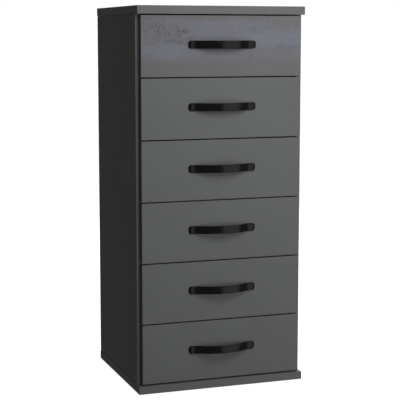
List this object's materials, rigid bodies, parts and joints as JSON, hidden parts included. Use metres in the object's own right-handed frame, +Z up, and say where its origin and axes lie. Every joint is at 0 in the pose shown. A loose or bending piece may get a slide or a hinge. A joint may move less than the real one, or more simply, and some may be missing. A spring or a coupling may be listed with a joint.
{
  "type": "chest of drawers",
  "caption": "Tall narrow chest of drawers in graphite board with flat fronts, a steel-look top front and arched black strap handles.",
  "frame": {"origin": "on the floor, at the middle of the whole chest's bounding box with its handles", "axes": "+Z up, +X to the right as seen from the front, the drawer fronts face -Y and the back is +Y"},
  "size_m": [0.47, 0.4256, 1.03],
  "materials": {
    "graphite_melamine": "satin melamine",
    "steel_look_melamine": "satin melamine with a cloudy dark steel print",
    "drawer_board": "matt grey foil",
    "hardboard": "matt lacquered hardboard",
    "black_lacquered_metal": "satin",
    "black_plastic": "moulded",
    "runner_plastic": "moulded"
  },
  "bodies": {
    "carcass": {"top_panel": "graphite_melamine", "base_panel": "graphite_melamine", "side_panel_left": "graphite_melamine", "side_panel_right": "graphite_melamine", "back_panel": "hardboard", "cross_rail": "graphite_melamine", "glide_front_left": "black_plastic", "glide_rear_left": "black_plastic", "runner_1_left": "runner_plastic", "runner_2_left": "runner_plastic", "runner_3_left": "runner_plastic", "runner_4_left": "runner_plastic", "runner_5_left": "runner_plastic", "runner_6_left": "runner_plastic", "glide_front_right": "black_plastic", "glide_rear_right": "black_plastic", "runner_1_right": "runner_plastic", "runner_2_right": "runner_plastic", "runner_3_right": "runner_plastic", "runner_4_right": "runner_plastic", "runner_5_right": "runner_plastic", "runner_6_right": "runner_plastic"},
    "drawer_1": {"drawer_front_1": "steel_look_melamine", "drawer_handle_1": "black_lacquered_metal", "drawer_side_left_1": "drawer_board", "drawer_side_right_1": "drawer_board", "drawer_back_1": "drawer_board", "drawer_bottom_1": "hardboard"},
    "drawer_2": {"drawer_front_2": "graphite_melamine", "drawer_handle_2": "black_lacquered_metal", "drawer_side_left_2": "drawer_board", "drawer_side_right_2": "drawer_board", "drawer_back_2": "drawer_board", "drawer_bottom_2": "hardboard"},
    "drawer_3": {"drawer_front_3": "graphite_melamine", "drawer_handle_3": "black_lacquered_metal", "drawer_side_left_3": "drawer_board", "drawer_side_right_3": "drawer_board", "drawer_back_3": "drawer_board", "drawer_bottom_3": "hardboard"},
    "drawer_4": {"drawer_front_4": "graphite_melamine", "drawer_handle_4": "black_lacquered_metal", "drawer_side_left_4": "drawer_board", "drawer_side_right_4": "drawer_board", "drawer_back_4": "drawer_board", "drawer_bottom_4": "hardboard"},
    "drawer_5": {"drawer_front_5": "graphite_melamine", "drawer_handle_5": "black_lacquered_metal", "drawer_side_left_5": "drawer_board", "drawer_side_right_5": "drawer_board", "drawer_back_5": "drawer_board", "drawer_bottom_5": "hardboard"},
    "drawer_6": {"drawer_front_6": "graphite_melamine", "drawer_handle_6": "black_lacquered_metal", "drawer_side_left_6": "drawer_board", "drawer_side_right_6": "drawer_board", "drawer_back_6": "drawer_board", "drawer_bottom_6": "hardboard"}
  },
  "joints": [
    {"name": "drawer_1_slide", "type": "slide", "parent": "carcass", "child": "drawer_1", "axis": [0, -1, 0], "range_m": [0, 0.27]},
    {"name": "drawer_2_slide", "type": "slide", "parent": "carcass", "child": "drawer_2", "axis": [0, -1, 0], "range_m": [0, 0.27]},
    {"name": "drawer_3_slide", "type": "slide", "parent": "carcass", "child": "drawer_3", "axis": [0, -1, 0], "range_m": [0, 0.27]},
    {"name": "drawer_4_slide", "type": "slide", "parent": "carcass", "child": "drawer_4", "axis": [0, -1, 0], "range_m": [0, 0.27]},
    {"name": "drawer_5_slide", "type": "slide", "parent": "carcass", "child": "drawer_5", "axis": [0, -1, 0], "range_m": [0, 0.27]},
    {"name": "drawer_6_slide", "type": "slide", "parent": "carcass", "child": "drawer_6", "axis": [0, -1, 0], "range_m": [0, 0.27]}
  ]
}
